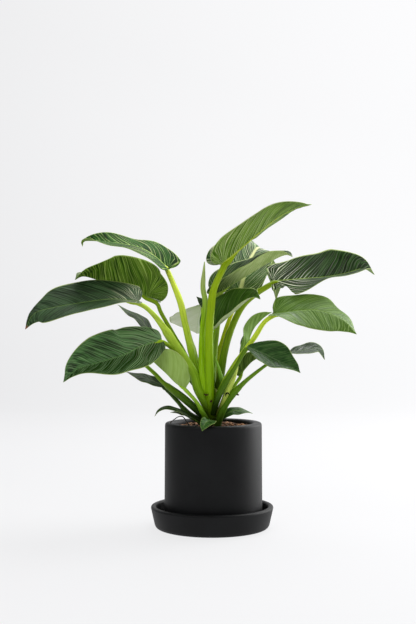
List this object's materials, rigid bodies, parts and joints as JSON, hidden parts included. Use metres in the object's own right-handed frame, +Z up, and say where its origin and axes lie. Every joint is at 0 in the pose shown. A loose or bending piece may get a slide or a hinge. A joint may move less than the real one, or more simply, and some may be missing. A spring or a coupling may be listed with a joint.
{
  "type": "potted philodendron birkin plant",
  "caption": "Philodendron with long-pointed, cream-striped leaves on sheathed green petioles, standing in a matte black cylinder pot on a matching saucer.",
  "frame": {"origin": "centre of the saucer's underside, on the surface it stands on", "axes": "+Z up along the pot, +X to the right seen from the front, +Y away from the front"},
  "size_m": [0.4675, 0.2486, 0.4351],
  "materials": {
    "black_ware": "fine matte, almost smooth",
    "soil": "coarse bark and coir, matte",
    "stem": "satin, ringed by leaf scars",
    "leaf": "glossy above with cream pinstripes, satin below",
    "petiole": "satin lime green, finely streaked",
    "root": "matte dark brown"
  },
  "bodies": {
    "root": {"saucer": "black_ware", "pot": "black_ware", "soil": "soil", "stem": "stem", "leaf_01_blade": "leaf", "leaf_01_petiole": "petiole", "leaf_02_blade": "leaf", "leaf_02_petiole": "petiole", "leaf_03_blade": "leaf", "leaf_03_petiole": "petiole", "leaf_04_blade": "leaf", "leaf_04_petiole": "petiole", "leaf_05_blade": "leaf", "leaf_05_petiole": "petiole", "leaf_06_blade": "leaf", "leaf_06_petiole": "petiole", "leaf_07_blade": "leaf", "leaf_07_petiole": "petiole", "leaf_08_blade": "leaf", "leaf_08_petiole": "petiole", "leaf_09_blade": "leaf", "leaf_09_petiole": "petiole", "leaf_10_blade": "leaf", "leaf_10_petiole": "petiole", "leaf_11_blade": "leaf", "leaf_11_petiole": "petiole", "leaf_12_blade": "leaf", "leaf_12_petiole": "petiole", "leaf_13_blade": "leaf", "leaf_13_petiole": "petiole", "leaf_14_blade": "leaf", "leaf_14_petiole": "petiole", "leaf_15_blade": "leaf", "leaf_15_petiole": "petiole", "leaf_16_blade": "leaf", "leaf_16_petiole": "petiole", "leaf_17_blade": "leaf", "leaf_17_petiole": "petiole", "leaf_18_blade": "leaf", "leaf_18_petiole": "petiole", "leaf_19_blade": "leaf", "leaf_19_petiole": "petiole", "leaf_20_blade": "leaf", "leaf_20_petiole": "petiole", "small_leaf_left": "leaf", "small_leaf_left_low": "leaf", "small_leaf_front": "leaf", "small_leaf_right": "leaf", "rolled_leaf": "petiole", "sheath_middle": "petiole", "sheath_right": "petiole", "rootlet": "root"}
  },
  "joints": []
}
